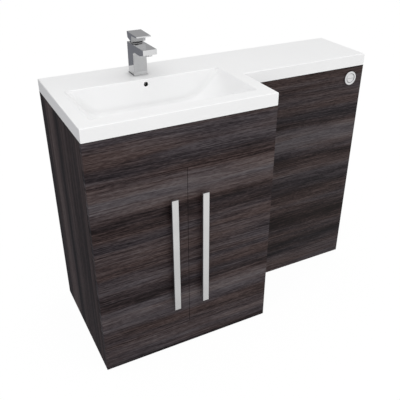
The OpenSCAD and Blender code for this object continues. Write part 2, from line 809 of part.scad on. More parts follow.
// A wedge-shaped hub under a thin flat plate
lever_back = tap_y + 17.5;
lever_top = tap_top + lever_rise;
module lever_profile() {
    tip = lever_back - lever_l;
    polygon([
        [lever_back, lever_top - 0.5], [lever_back - 0.5, lever_top],
        [tip + 0.8, lever_top - 1.4], [tip, lever_top - 2.2], [tip, lever_top - lever_t - 1],
        [tap_y - 20.7, lever_top - 8], [tap_y - 17.7, tap_top + 6],
        [tap_y - 0.7, tap_top + 10.7], [lever_back - 3.6, tap_top + 14.7]]);
}
grub_r = 2.5;
grub_l = 6;
grub_z = tap_top + 20;
module tap_lever() {
    color(chrome) placed() difference() {
        side_extrude(lever_w) lever_profile();
        board([tap_x - stem_w / 2 - fit, tap_y - stem_w / 2 - fit, tap_top],
              [tap_x + stem_w / 2 + fit, tap_y + stem_w / 2 + fit, pivot_z + stem_l + slack]);
        rod_y([tap_x, tap_y + stem_w / 2, grub_z], grub_r + fit, lever_l);
    }
}
module lever_grub_screw() {
    color(steel) placed() difference() {
        rod_y([tap_x, tap_y + stem_w / 2 + fit, grub_z], grub_r, grub_l);
        translate([tap_x, tap_y + stem_w / 2 + grub_l, grub_z]) rotate([90, 0, 0])
            cylinder(r = 1.3, h = 5, center = true, $fn = 6);
    }
}
washer_t = 3;
nut_t = 8;
module hex_nut(at, r, hole_r, h) {
    translate(at) difference() {
        cylinder(r = r, h = h, $fn = 6);
        translate([0, 0, -1]) cylinder(r = hole_r, h = h + 2);
    }
}
// Stud, horseshoe washer and nut under the deck
module tap_fixings() {
    under = slab_top - deck_t;
    color([0.80, 0.66, 0.35]) placed() {
        rod_z([tap_x, stud_y, slab_top + tap_base_t + stud_in - stud_l], stud_r, stud_l);
        difference() {
            rod_z([tap_x, tap_y, under - washer_t], tap_hole_d / 2 + 7, washer_t);
            rod_z([tap_x, stud_y, under - washer_t - 1], stud_r + fit, washer_t + 2);
            board([tap_x - 16, tap_y + 1, under - washer_t - 1], [tap_x + 16, tap_y + tap_hole_d, under + 1]);
        }
        hex_nut([tap_x, stud_y, under - washer_t - nut_t], 2 * stud_r, stud_r + fit, nut_t);
    }
}

// ---------------------------------------------------------------- waste

waste_flange_t = 2.5;
seal_t = 2;
flange_z = floor_z + seal_t;
tail_r = waste_tail_d / 2;
tail_wall = 2.5;
tail_low = flange_z - waste_tail_l;
guide_z = flange_z - 45;
guide_r = 4.5;
waste_nut_t = 14;
waste_nut_top = duct_low - seal_t * 2;
module waste_body() {
    slot_z = duct_low + duct_wall;
    color(chrome) placed() translate([waste_x, waste_y, 0]) difference() {
        union() {
            rotate_extrude() polygon([
                [tail_r - tail_wall, tail_low], [tail_r, tail_low], [tail_r, flange_z],
                [waste_flange_d / 2, flange_z], [waste_flange_d / 2 - 1.5, flange_z + waste_flange_t],
                [tail_r + 1, flange_z + waste_flange_t], [tail_r - tail_wall, flange_z - 1]]);
            difference() {
                for (a = [0, 90]) rotate([0, 0, a])
                    translate([-tail_r + 1, -1.5, guide_z]) cube([2 * tail_r - 2, 3, 10]);
                translate([0, 0, guide_z - 1]) cylinder(r = guide_r, h = 12);
            }
            translate([0, 0, guide_z]) difference() {
                cylinder(r = guide_r + 2.5, h = 10);
                translate([0, 0, -1]) cylinder(r = guide_r, h = 12);
            }
        }
        for (a = [45:90:315]) rotate([0, 0, a])
            translate([tail_r - tail_wall - 2, -5, slot_z]) cube([8, 10, duct_gap - 1]);
    }
}
module waste_seals() {
    color(rubber) placed() translate([waste_x, waste_y, 0]) {
        translate([0, 0, floor_z]) difference() {
            cylinder(r = waste_flange_d / 2 - 2, h = seal_t);
            translate([0, 0, -1]) cylinder(r = tail_r + fit, h = seal_t + 2);
        }
        translate([0, 0, waste_nut_top]) difference() {
            cylinder(r = tail_r + 8, h = 2 * seal_t);
            translate([0, 0, -1]) cylinder(r = tail_r + fit, h = 2 * seal_t + 2);
        }
    }
}
module waste_nut() {
    color(steel) placed()
        hex_nut([waste_x, waste_y, waste_nut_top - waste_nut_t], tail_r + 9, tail_r + fit, waste_nut_t);
}
module waste_plug() {
    cap_low = flange_z + waste_flange_t + slack;
    cap_r = waste_flange_d / 2 - 3;
    stem_r = guide_r - fit;
    color(chrome) placed() translate([waste_x, waste_y, 0]) rotate_extrude() polygon(concat(
        [[0, guide_z - 6], [stem_r, guide_z - 6], [stem_r, cap_low - 6], [9, cap_low - 3], [9, cap_low]],
        [[cap_r - 1, cap_low], [cap_r, cap_low + 1]],
        [for (i = [1:8]) [cap_r * cos(90 * i / 8), cap_low + 1 + 5 * sin(90 * i / 8)]]));
}

// ---------------------------------------------------------------- cistern

tank_x = vanity_w + wc_w / 2;
tank_back = -board_t - 1;      // the tank stands 1 mm off the back rails
tank_y = tank_back - tank_d / 2;
tank_r = 20;
fill_inset = 60;               // from the end of the tank to the fill valve
valve_x = tank_x;
fill_x = tank_x - tank_w / 2 + fill_inset;
valve_tail_r = 30;
valve_bore_r = 24;
fill_tail_r = 10.4;
valve_tail_l = 45;
fill_tail_l = 42;
tank_top = shelf_z + tank_h;
valve_seat_z = shelf_z + tank_wall + 16;

module round_block(w, d, h, r) {
    translate([0, -d / 2 + r, 0]) {
        for (x = [-w / 2 + r, w / 2 - r], y = [0, d - 2 * r])
            translate([x, y, 0]) cylinder(r = r, h = h);
        translate([-w / 2 + r, -r, 0]) cube([w - 2 * r, d, h]);
        translate([-w / 2, 0, 0]) cube([w, d - 2 * r, h]);
    }
}
module cistern_shelf() {
    color(board_core) placed() difference() {
        board([vanity_w + board_t, wc_front_back + board_t, shelf_z - board_t],
              [total_w - board_t, -board_t, shelf_z]);
        both_wc_ends(wc_dowels);
        rod_z([valve_x, tank_y, shelf_z - board_t - 1], valve_tail_r + 14, board_t + 2);
        rod_z([fill_x, tank_y, shelf_z - board_t - 1], fill_tail_r + 10, board_t + 2);
    }
}
module cistern_tank() {
    color(plastic) placed() translate([tank_x, tank_y, shelf_z]) difference() {
        round_block(tank_w, tank_d, tank_h, tank_r);
        translate([0, 0, tank_wall])
            round_block(tank_w - 2 * tank_wall, tank_d - 2 * tank_wall, tank_h, tank_r - tank_wall);
        translate([valve_x - tank_x, 0, -1]) cylinder(r = valve_tail_r + fit, h = tank_wall + 2);
        translate([fill_x - tank_x, 0, -1]) cylinder(r = fill_tail_r + fit, h = tank_wall + 2);
    }
}
cap_r = 26;
cap_top = tank_top + 12;
nozzle_r = 1.5;
nozzle_l = 6;
nozzle_dx = [-9, 9];
lid_t = 3;
lip_h = 8;
lip_t = 3;
lip_gap = 0.5;
module lid_block(inset, h) {
    round_block(tank_w - 2 * inset, tank_d - 2 * inset, h, tank_r - inset);
}
module cistern_lid() {
    color(plastic) placed() translate([tank_x, tank_y, tank_top]) difference() {
        union() {
            round_block(tank_w + 2 * lid_t, tank_d, lid_t, tank_r);
            translate([0, 0, -lip_h]) difference() {
                lid_block(tank_wall + lip_gap, lip_h + 1);
                translate([0, 0, -1]) lid_block(tank_wall + lip_gap + lip_t, lip_h + 2);
            }
        }
        translate([valve_x - tank_x, 0, -lip_h - 1]) cylinder(r = cap_r + 1, h = lip_h + lid_t + 2);
    }
}
// Flush valve: tail and seat below, a cage of four posts, and a cap above that
// turns the air from the buttons into the lift of the seal.
post_ring_r = 34;
post_t = 4;
post_w = 8;
cage_ring_r = post_ring_r + post_t;
cage_base_t = 5;
cage_plate_t = 6;
guide_tube_r = 12;
cage_top = shelf_z + tank_h * 0.62;
cap_cell_low = cage_top + seal_lift + 10;
cap_cell_r = cap_r - 3;
tank_floor = shelf_z + tank_wall;
seat_r = valve_tail_r - 2;
seal_r = seat_r + 1;
guide_wall = 3;
module flush_valve() {
    color(plastic) placed() translate([valve_x, tank_y, 0]) {
        difference() {
            union() {
                translate([0, 0, shelf_z - valve_tail_l])
                    cylinder(r = valve_tail_r, h = valve_tail_l + tank_wall + 1);
                translate([0, 0, tank_floor]) cylinder(r = cage_ring_r, h = cage_base_t);
                translate([0, 0, tank_floor]) cylinder(r = seat_r, h = valve_seat_z - tank_floor);
                for (a = [45:90:315]) rotate([0, 0, a])
                    translate([post_ring_r - 1.5, -post_w / 2, tank_floor + 1])
                        cube([post_t, post_w, cage_top - tank_floor]);
                translate([0, 0, cage_top]) cylinder(r = cage_ring_r, h = cage_plate_t);
                translate([0, 0, cage_top]) cylinder(r = cap_r, h = cap_top - cage_top);
                for (dx = nozzle_dx) translate([dx, 0, cap_top - 1]) cylinder(r = nozzle_r, h = nozzle_l + 1);
            }
            translate([0, 0, shelf_z - valve_tail_l - 1])
                cylinder(r = valve_bore_r, h = valve_seat_z - shelf_z + valve_tail_l + 2);
            translate([0, 0, cage_top - 1])
                cylinder(r = guide_tube_r + slack, h = cap_cell_low - cage_top + 2);
            translate([0, 0, cap_cell_low]) cylinder(r = cap_cell_r, h = cap_top - 4 - cap_cell_low);
        }
    }
}
module flush_seal() {
    color([0.75, 0.20, 0.18]) placed() translate([valve_x, tank_y, 0]) rotate_extrude() polygon([
        [0, valve_seat_z + slack], [seal_r - 2, valve_seat_z + slack],
        [seal_r, valve_seat_z + 2], [seal_r, valve_seat_z + 4],
        [guide_tube_r + guide_wall, valve_seat_z + 7], [guide_tube_r, valve_seat_z + 12],
        [guide_tube_r, cage_top + 8], [guide_tube_r - guide_wall, cage_top + 8],
        [guide_tube_r - guide_wall, valve_seat_z + 10], [0, valve_seat_z + 8]]);
}
fill_head_z = tank_top - 62;
fill_head_r = 20;
fill_head_h = 26;
fill_bore_r = 6;
float_r = 24;
float_h = 50;
stand_r = 11;
stop_t = 4;                    // collar that the low float rests on
float_low = fill_head_z - float_h - 1 - float_drop;
module fill_valve() {
    color([0.93, 0.93, 0.92]) placed() translate([fill_x, tank_y, 0]) difference() {
        union() {
            translate([0, 0, shelf_z - fill_tail_l])
                cylinder(r = fill_tail_r, h = fill_tail_l + tank_wall + 1);
            translate([0, 0, tank_floor]) cylinder(r = fill_tail_r + 6, h = 6);
            translate([0, 0, tank_floor]) cylinder(r = stand_r, h = fill_head_z - tank_floor + 1);
            translate([0, 0, float_low - slack - stop_t]) cylinder(r = stand_r + 4, h = stop_t);
            translate([0, 0, fill_head_z]) cylinder(r = fill_head_r, h = fill_head_h);
            translate([0, 0, fill_head_z + fill_head_h]) cylinder(r = 14, h = 10);
            translate([0, -3, fill_head_z + 6]) cube([fill_head_r + 14, 6, 8]);
        }
        translate([0, 0, shelf_z - fill_tail_l - 1])
            cylinder(r = fill_bore_r, h = fill_head_z - shelf_z + fill_tail_l);
    }
}
module fill_float() {
    color([0.25, 0.45, 0.70]) placed() translate([fill_x, tank_y, float_low]) difference() {
        cylinder(r = float_r, h = float_h);
        translate([0, 0, -1]) cylinder(r = stand_r + slack, h = float_h + 2);
        translate([0, 0, -1]) difference() {
            cylinder(r = float_r - 2.5, h = float_h - 3);
            cylinder(r = stand_r + 3, h = float_h);
        }
    }
}
valve_nut_t = 12;
fill_nut_t = 9;
coupling_h = 34;
coupling_skirt = 14;           // part of the coupling nut that grips the pipe
module valve_nuts() {
    color(plastic) placed() {
        hex_nut([valve_x, tank_y, shelf_z - valve_nut_t],
            valve_tail_r + 10, valve_tail_r + fit, valve_nut_t);
        hex_nut([fill_x, tank_y, shelf_z - fill_nut_t], fill_tail_r + 6, fill_tail_r + fit, fill_nut_t);
        translate([valve_x, tank_y, shelf_z - valve_tail_l - coupling_skirt]) difference() {
            cylinder(r = valve_tail_r + 5, h = coupling_h);
            translate([0, 0, coupling_skirt]) cylinder(r = valve_tail_r + fit, h = coupling_h);
            translate([0, 0, -1]) cylinder(r = flush_pipe_d / 2 + fit, h = coupling_h);
        }
    }
}
pipe_top = shelf_z - valve_tail_l - 1;
pipe_wall = 2;
cone_end = wc_front_back + 4;
pipe_end = cone_end + 12;
module pipe_run(r) {
    bend_z = flush_outlet_z + flush_bend_r;
    translate([valve_x, tank_y, bend_z]) cylinder(r = r, h = pipe_top - bend_z);
    translate([valve_x, tank_y - flush_bend_r, bend_z]) rotate([90, 0, 90]) rotate([0, 0, -90])
        rotate_extrude(angle = 90) translate([flush_bend_r, 0]) circle(r = r);
    rod_y([valve_x, pipe_end, flush_outlet_z], r, tank_y - flush_bend_r - pipe_end);
}
module flush_pipe() {
    color(plastic) placed() difference() {
        pipe_run(flush_pipe_d / 2);
        pipe_run(flush_pipe_d / 2 - pipe_wall);
        rod_y([valve_x, pipe_end - 1, flush_outlet_z], flush_pipe_d / 2 - pipe_wall, 3);
        rod_z([valve_x, tank_y, pipe_top - 2], flush_pipe_d / 2 - pipe_wall, 3);
    }
}
module flush_cone() {
    r = flush_pipe_d / 2;
    color(rubber) placed() translate([valve_x, cone_end, flush_outlet_z]) rotate([-90, 0, 0]) rotate_extrude()
        polygon([[r - 4, 0], [r + 3, 0], [r + 6, 6], [r + 6, 20], [r + 4, 26],
                 [r + fit, 26], [r + fit, 12 - fit], [r - 4, 12 - fit]]);
}

// ---------------------------------------------------------------- flush button

button_x = total_w - button_inset;
button_z = cabinet_h - button_drop;
bezel_r = bezel_d / 2;
barrel_r = bezel_r - 5.5;
push_r = barrel_r - 3;
bezel_front = -wc_d - bezel_h;
barrel_back = wc_front_back + 26;
guide_back = -wc_d + 10;       // front of the plate that guides the buttons
guide_t = 4;
stem_dz = push_r * 0.48;
plunger_r = 4;
plunger_end = barrel_back - 8;
cell_l = 22;
split = 0.8;                   // gap between the two buttons

module wc_front_panel() {
    color(wood) placed() difference() {
        board([vanity_w, -wc_d, 0], [total_w, wc_front_back, cabinet_h]);
        rod_y([button_x, -wc_d - 1, button_z], barrel_r + fit, board_t + 2);
    }
}
module button_housing() {
    l = barrel_back - bezel_front;
    color(chrome) placed() translate([button_x, bezel_front, button_z]) rotate([-90, 0, 0]) difference() {
        union() {
            rotate_extrude() polygon(concat(
                [[push_r + 0.4, 1], [push_r + 1.4, 0]],
                [for (i = [0:6]) [bezel_r - 2.5 + 2.5 * sin(15 * i), 2.5 - 2.5 * cos(15 * i)]],
                [[bezel_r, bezel_h], [barrel_r, bezel_h], [barrel_r, l], [barrel_r - 2, l],
                 [barrel_r - 2, bezel_h], [push_r + 0.4, bezel_h]]));
            translate([0, 0, guide_back - bezel_front]) cylinder(r = barrel_r - 1, h = guide_t);
        }
        for (s = [-1, 1]) translate([0, s * stem_dz, 0]) cylinder(r = plunger_r + fit, h = l);
    }
}
// One half of the push face on its plunger; s is 1 for the upper half
module push_button(s) {
    face = bezel_front - 0.5;
    thick = 4.5;
    color(chrome) placed() translate([button_x, face, button_z]) rotate([-90, 0, 0]) {
        intersection() {
            rotate_extrude() polygon([
                [0, 0], [push_r - 3, 0.4], [push_r - 1, 1.2], [push_r, 2.4], [push_r, thick], [0, thick]]);
            translate([-push_r, s > 0 ? -push_r - split / 2 : split / 2, -1])
                cube([2 * push_r, push_r, thick + 2]);
        }
        translate([0, -s * stem_dz, thick - 0.1]) cylinder(r = plunger_r, h = plunger_end - face - thick);
    }
}
module flush_button_full() {
    push_button(1);
}
module flush_button_half() {
    push_button(-1);
}
module button_nut() {
    color(plastic) placed() translate([button_x, wc_front_back, button_z]) rotate([-90, 0, 0]) difference() {
        cylinder(r = barrel_r + 6, h = 7, $fn = 12);
        translate([0, 0, -1]) cylinder(r = barrel_r + fit, h = 9);
    }
}
// Two air cells in one block that closes the back of the barrel
cell_front = barrel_back - 10;
cell_back = barrel_back + 12;
module air_cells() {
    color(plastic) placed() translate([button_x, cell_front, button_z]) rotate([-90, 0, 0]) difference() {
        union() {
            cylinder(r = barrel_r - 2 - fit, h = cell_back - cell_front);
            for (s = [-1, 1]) translate([0, s * stem_dz, 0])
                cylinder(r = nozzle_r, h = cell_back - cell_front + nozzle_l);
        }
        for (s = [-1, 1]) translate([0, s * stem_dz, -1])
            cylinder(r = plunger_r + slack, h = cell_back - cell_front - 3);
    }
}
// The tubes run back, turn along the cistern and turn down to the valve's cap
tube_r = 2.6;
tube_bore_r = nozzle_r + fit;
tube_bend_r = 16;
module tube_run(dx, dz, r) {
    z = button_z + dz;
    x = valve_x + dx;
    rod_y([button_x, cell_back + 1, z], r, tank_y - tube_bend_r - cell_back - 1);
    translate([button_x - tube_bend_r, tank_y - tube_bend_r, z])
        rotate_extrude(angle = 90) translate([tube_bend_r, 0]) circle(r = r);
    rod_x([x + tube_bend_r, tank_y, z], r, button_x - x - 2 * tube_bend_r);
    translate([x + tube_bend_r, tank_y, z - tube_bend_r]) rotate([90, 0, 0]) rotate([0, 0, 90])
        rotate_extrude(angle = 90) translate([tube_bend_r, 0]) circle(r = r);
    rod_z([x, tank_y, cap_top + 1], r, z - tube_bend_r - cap_top - 1);
}
module air_tubes() {
    color([0.70, 0.80, 0.85]) placed() for (i = [0, 1]) difference() {
        tube_run(nozzle_dx[i], stem_dz * (1 - 2 * i), tube_r);
        tube_run(nozzle_dx[i], stem_dz * (1 - 2 * i), tube_bore_r);
        rod_y([button_x, cell_back, button_z + stem_dz * (1 - 2 * i)], tube_bore_r, 3);
        rod_z([valve_x + nozzle_dx[i], tank_y, cap_top], tube_bore_r, 3);
    }
}

basin_top();
left_side_panel();
middle_side_panel();
base_panel();
front_rail();
vanity_back_rails();
fascia_panel();
plinth_panel();
front_battens();
wc_left_panel();
wc_right_panel();
wc_front_panel();
wc_back_rails();
cistern_shelf();
carcass_dowels();
joining_bolts();
left_door();
right_door();
left_handle();
right_handle();
left_door_screws();
right_door_screws();
left_hinge_cups();
right_hinge_cups();
left_hinge_pins();
right_hinge_pins();
hinge_arms();
hinge_plates();
hinge_plate_screws();
door_bumpers();
tap_base_plate();
tap_body();
tap_aerator();
tap_cartridge();
tap_collar();
cartridge_turret();
lever_pivot_pin();
lever_stem();
tap_lever();
lever_grub_screw();
tap_fixings();
waste_body();
waste_seals();
waste_nut();
waste_plug();
cistern_tank();
cistern_lid();
fill_valve();
fill_float();
flush_valve();
flush_seal();
valve_nuts();
flush_pipe();
flush_cone();
button_housing();
button_nut();
flush_button_full();
flush_button_half();
air_cells();
air_tubes();
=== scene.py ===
"""Looks of the toilet and basin combination unit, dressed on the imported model.

Metres, +Z up. The unit stands on z = 0 with its back at the largest y. The basin's own sizes are
in mm, as in the part's source, and mm() turns them into points of the frame.
"""

import json
import math

import bmesh
import bpy
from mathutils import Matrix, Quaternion, Vector
from mathutils.bvhtree import BVHTree


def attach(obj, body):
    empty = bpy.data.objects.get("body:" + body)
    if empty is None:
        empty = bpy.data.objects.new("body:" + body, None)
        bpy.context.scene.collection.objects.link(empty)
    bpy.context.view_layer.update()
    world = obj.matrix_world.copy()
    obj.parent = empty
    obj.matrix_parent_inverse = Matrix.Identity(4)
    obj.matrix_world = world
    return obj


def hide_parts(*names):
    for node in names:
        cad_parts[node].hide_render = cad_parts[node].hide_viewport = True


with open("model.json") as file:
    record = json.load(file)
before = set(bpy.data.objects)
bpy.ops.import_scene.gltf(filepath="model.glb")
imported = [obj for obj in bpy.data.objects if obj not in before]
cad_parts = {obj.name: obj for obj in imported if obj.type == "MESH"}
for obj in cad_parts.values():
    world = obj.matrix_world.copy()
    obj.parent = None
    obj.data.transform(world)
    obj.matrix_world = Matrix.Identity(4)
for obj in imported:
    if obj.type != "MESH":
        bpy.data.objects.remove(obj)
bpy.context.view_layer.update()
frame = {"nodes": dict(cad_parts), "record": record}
record = frame["record"]
nodes = frame["nodes"]
slot_of = {part["node"]: part["material_slot"] for part in record["subparts"]}

# ---------------------------------------------------------------- camera

CAMERA_AT = Vector((-0.8658, -1.5049, 1.4029))
CAMERA_AZIMUTH = math.radians(26.947)
CAMERA_ELEVATION = math.radians(-30.371)
CAMERA_ROLL = math.radians(0.11)
CAMERA_LENS = 50.166
SENSOR = 36.0
VIEW_REACH = 100


def make_camera():
    """The photograph's viewpoint, solved from the unit's straight edges."""
    data = bpy.data.cameras.new("camera")
    data.lens = CAMERA_LENS
    data.sensor_width = SENSOR
    data.clip_end = VIEW_REACH
    camera = bpy.data.objects.new("camera", data)
    bpy.context.scene.collection.objects.link(camera)
    bpy.context.scene.camera = camera
    flat = math.cos(CAMERA_ELEVATION)
    forward = Vector(
        (
            math.sin(CAMERA_AZIMUTH) * flat,
            math.cos(CAMERA_AZIMUTH) * flat,
            math.sin(CAMERA_ELEVATION),
        )
    )
    camera.rotation_mode = "QUATERNION"
    camera.location = CAMERA_AT
    camera.rotation_quaternion = Quaternion(forward, CAMERA_ROLL) @ forward.to_track_quat("-Z", "Y")


make_camera()

# ---------------------------------------------------------------- materials

TOTAL_W = 1100  # mm
TOTAL_D = 472  # mm
NOISE_SWING = (0.3, 0.7)  # most of a noise's values lie between these


class Surface:
    """A material around one Principled shader, with short calls that add and link nodes."""

    def __init__(self, name, **fixed):
        self.material = bpy.data.materials.new(name)
        self.material.use_nodes = True
        self.tree = self.material.node_tree
        self.shader = self.tree.nodes["Principled BSDF"]
        self.place = self.tree.nodes.new("ShaderNodeTexCoord").outputs["Object"]
        for key, value in fixed.items():
            self.set(key.replace("_", " "), value)

    def put(self, socket, value):
        if isinstance(value, bpy.types.NodeSocket):
            self.tree.links.new(value, socket)
        else:
            socket.default_value = value

    def set(self, name, value):
        self.put(self.shader.inputs[name], value)

    def node(self, kind, inputs=(), **settings):
        made = self.tree.nodes.new("ShaderNode" + kind)
        for key, value in settings.items():
            setattr(made, key, value)
        for key, value in dict(inputs).items():
            self.put(made.inputs[key], value)
        return made

    def stretched(self, scale, offset=(0, 0, 0)):
        """Object coordinates, scaled along each axis."""
        inputs = {"Vector": self.place, "Scale": scale, "Location": offset}
        return self.node("Mapping", inputs).outputs["Vector"]

    def noise(self, vector, detail=2, roughness=0.5):
        inputs = {"Vector": vector, "Scale": 1.0, "Detail": detail, "Roughness": roughness}
        return self.node("TexNoise", inputs).outputs["Fac"]

    def math(self, operation, a, b=0.5, c=0.5):
        return self.node("Math", {0: a, 1: b, 2: c}, operation=operation).outputs["Value"]

    def spread(self, value, low, high, to_low=0.0, to_high=1.0):
        """Maps a stretch of a value to another, clamped."""
        inputs = {
            "Value": value,
            "From Min": low,
            "From Max": high,
            "To Min": to_low,
            "To Max": to_high,
        }
        return self.node("MapRange", inputs).outputs["Result"]

    def axis(self, letter):
        """One coordinate of the place that the material is at, in metres."""
        return self.node("SeparateXYZ", {0: self.place}).outputs[letter.upper()]

    def grey(self, level):
        return self.node("CombineColor", {i: level for i in range(3)}).outputs[0]

    def ramp(self, value, stops):
        made = self.node("ValToRGB", {"Fac": value})
        elements = made.color_ramp.elements
        while len(elements) < len(stops):
            elements.new(0.5)
        for element, (position, colour) in zip(elements, stops):
            element.position = position
            element.color = (*colour, 1)
        return made.outputs["Color"]

    def mix(self, factor, a, b, blend="MIX"):
        made = self.node("Mix", data_type="RGBA", blend_type=blend)
        for socket, value in ((made.inputs[0], factor), (made.inputs[6], a), (made.inputs[7], b)):
            self.put(socket, value if not isinstance(value, tuple) else (*value, 1))
        return made.outputs[2]

    def tinted(self, noise, dark, pale):
        """A colour that varies with a noise."""
        return self.ramp(noise, list(zip(NOISE_SWING, (dark, pale))))

    def rough(self, noise, low, high):
        """Roughness that varies with a noise."""
        self.set("Roughness", self.spread(noise, *NOISE_SWING, low, high))

    def bump(self, height, strength, distance):
        inputs = {"Height": height, "Strength": strength, "Distance": distance}
        self.set("Normal", self.node("Bump", inputs).outputs["Normal"])


# The print's two inks, from its darkest line to its palest.
BROWN = [
    (0.0, (0.0045, 0.0014, 0.0012)),
    (0.2, (0.0165, 0.0092, 0.0088)),
    (0.42, (0.0400, 0.0250, 0.0236)),
    (0.75, (0.0800, 0.0575, 0.0545)),
    (1.0, (0.1140, 0.0910, 0.0870)),
]
SLATE = [
    (0.0, (0.0030, 0.0018, 0.0026)),
    (0.2, (0.0132, 0.0096, 0.0120)),
    (0.42, (0.0322, 0.0250, 0.0284)),
    (0.75, (0.0670, 0.0570, 0.0620)),
    (1.0, (0.1010, 0.0900, 0.0950)),
]
# The print's broad bands: mm above the floor, or out from the wall on a side, and a tone from 0,
# dark, to 1, pale. BAND_SPAN is the stretch in mm that their places are counted over.
BAND_SPAN = 850
FRONT_BANDS = [
    (10, 0.20), (60, 0.60), (120, 0.27), (205, 0.80), (255, 0.23), (310, 0.45), (480, 0.50),
    (520, 0.22), (560, 0.22), (575, 0.58), (620, 0.80), (700, 0.27), (735, 0.50),
]
WC_BANDS = [
    (60, 0.54), (120, 0.04), (180, 0.46), (230, 0.05), (300, 0.52), (345, 0.32), (385, 0.16),
    (430, 0.56), (490, 0.24), (555, 0.88), (600, 0.80), (620, 0.20), (660, 0.26), (700, 0.57),
    (780, 0.47),
]
SIDE_BANDS = [
    (40, 0.14), (90, 0.66), (130, 0.66), (190, 0.04), (240, 0.46), (370, 0.22), (405, 0.46),
    (450, 0.32),
]
# The print hardly changes through a board's thickness, so its edging carries the same lines.
THROUGH_SCALE = 4.0
# How far the lines waver from side to side, slowly and quickly, in metres.
SWAY = 0.014
RIPPLE = 0.003
# How strongly each layer of the print changes its tone.
STREAK_DEPTH = 1.0
LINE_DEPTH = 1.85
FLECK_DEPTH = 0.7
PORE_SHADE = 0.30
PORE_SWING = (0.34, 0.52)
# How gently the tint noise turns one ink to the other, and how deep the print is embossed, in metres.
TINT_BLEND = 0.2
EMBOSSED = 0.0002
# Painted shadow: the boards' colour darkens between these heights, under the basin's edge.
PAINTED_SHADOW_Z = (0.8065, 0.8095)
PAINTED_SHADOW_TONE = 0.3


def laminate(name, bands, across="z", shift=0.0, tone=1.0, calm=1.0, slate_from=0.42):
    """Dark driftwood laminate: broad bands, broken into streaks and fine wavering lines.

    The grain runs along x, or upright where the bands lie across y. calm below 1 takes the streaks
    and lines back. slate_from is where the tint noise turns the brown ink to slate. A strip just
    under the basin's edge is darkened in the colour as painted shadow.
    """
    surface = Surface(name, Metallic=0.0)
    along = "x" if across == "z" else "z"

    def grain(lengthwise, crosswise, detail=3, roughness=0.6, offset=0.0):
        """Noise with about so many features in a metre along the grain, and across it."""
        scale = [THROUGH_SCALE] * 3
        scale["xyz".index(along)] = lengthwise
        scale["xyz".index(across)] = crosswise
        return surface.noise(surface.stretched(scale, (offset + shift,) * 3), detail, roughness)

    def layer(noise, depth, below):
        """Adds a layer of noise, which swings around its middle, to the tone below it."""
        return surface.math("MULTIPLY_ADD", surface.math("SUBTRACT", noise, 0.5), depth, below)

    def toned(stops):
        return [(stop, tuple(tone * c for c in rgb)) for stop, rgb in stops]

    sway = surface.math("MULTIPLY_ADD", grain(2.0, 5, detail=2, offset=5.0), SWAY, -SWAY / 2)
    ripple = surface.math("MULTIPLY_ADD", grain(9, 12, detail=1, offset=9.0), RIPPLE, sway)
    height = surface.axis("z")
    moved = surface.node("CombineXYZ", {"xyz".index(across): ripple}).outputs[0]
    shifted = surface.node("VectorMath", {0: surface.place, 1: moved}, operation="ADD")
    surface.place = shifted.outputs[0]

    start = 0.0 if across == "z" else TOTAL_D / 2000
    end = BAND_SPAN / 1000 if across == "z" else start - BAND_SPAN / 1000
    spot = surface.spread(surface.axis(across), start, end)
    wide = surface.ramp(spot, [(at / BAND_SPAN, (level,) * 3) for at, level in bands])
    streaks = grain(1.2, 42, detail=3, roughness=0.75)
    lines = grain(6.5, 280, detail=3, roughness=0.78, offset=7.0)
    flecks = grain(60, 330, detail=1, offset=11.0)
    pores = grain(22, 700, detail=1)
    tint = grain(1.1, 17, detail=2, offset=3.0)
    value = layer(streaks, STREAK_DEPTH * calm, wide)
    value = layer(lines, LINE_DEPTH * calm * calm, value)
    value = layer(flecks, FLECK_DEPTH * calm, value)
    brown = surface.ramp(value, toned(BROWN))
    slate = surface.ramp(value, toned(SLATE))
    ink = surface.spread(tint, slate_from, slate_from + TINT_BLEND)
    colour = surface.mix(ink, brown, slate)
    dark = surface.spread(pores, *PORE_SWING, 1 - PORE_SHADE * calm, 1.0)
    # Painted shadow: a darker strip just under the basin, multiplied into the colour with the pores.
    shadow = surface.spread(height, *PAINTED_SHADOW_Z, 1.0, PAINTED_SHADOW_TONE)
    dark = surface.grey(surface.math("MULTIPLY", dark, shadow))
    surface.set("Base Color", surface.mix(1.0, colour, dark, "MULTIPLY"))
    surface.rough(streaks, 0.58, 0.46)
    surface.set("Specular IOR Level", 0.12)
    surface.bump(surface.math("ADD", lines, pores), 0.2 * calm, EMBOSSED)
    return surface.material


# Painted shade: the gel coat's colour dims to NOOK_SHADE where things within NOOK_REACH metres leave
# less than NOOK_OPEN of the view free, so its creases and nooks are darkened in colour.
NOOK_REACH = 0.02
NOOK_SAMPLES = 12
NOOK_OPEN = 0.6
NOOK_SHADE = 0.80


def cast_resin():
    """Glossy white gel coat, faintly uneven as cast, with painted shade darkening its nooks."""
    surface = Surface("cast_resin", Metallic=0.0, IOR=1.5)
    wave = surface.noise(surface.stretched((9, 9, 9)), 2)
    fine = surface.noise(surface.stretched((220, 220, 220)), 2)
    white = surface.tinted(wave, (0.930, 0.931, 0.934), (0.944, 0.945, 0.947))
    # Painted shade: an occlusion node darkens the colour in creases and nooks.
    nook = surface.node("AmbientOcclusion", {"Distance": NOOK_REACH}, samples=NOOK_SAMPLES)
    shade = surface.grey(surface.spread(nook.outputs["AO"], NOOK_OPEN, 1.0, NOOK_SHADE, 1.0))
    surface.set("Base Color", surface.mix(1.0, white, shade, "MULTIPLY"))
    surface.rough(fine, 0.28, 0.34)
    surface.set("Specular IOR Level", 0.4)
    surface.bump(surface.math("MULTIPLY_ADD", wave, 6.0, fine), 0.05, 0.0003)
    return surface.material


def metal(name, colour, low, high, grain=(40, 40, 40), bump=0.05):
    """Metal whose roughness and tone vary along a grain."""
    surface = Surface(name, Metallic=1.0)
    marks = surface.noise(surface.stretched(grain), 3, 0.6)
    smudge = surface.noise(surface.stretched((14, 14, 14)), 2)
    darker = tuple(0.94 * c for c in colour)
    surface.set("Base Color", surface.ramp(smudge, [(0.35, darker), (0.65, colour)]))
    surface.rough(marks, low, high)
    surface.bump(marks, bump, 0.0002)
    return surface.material


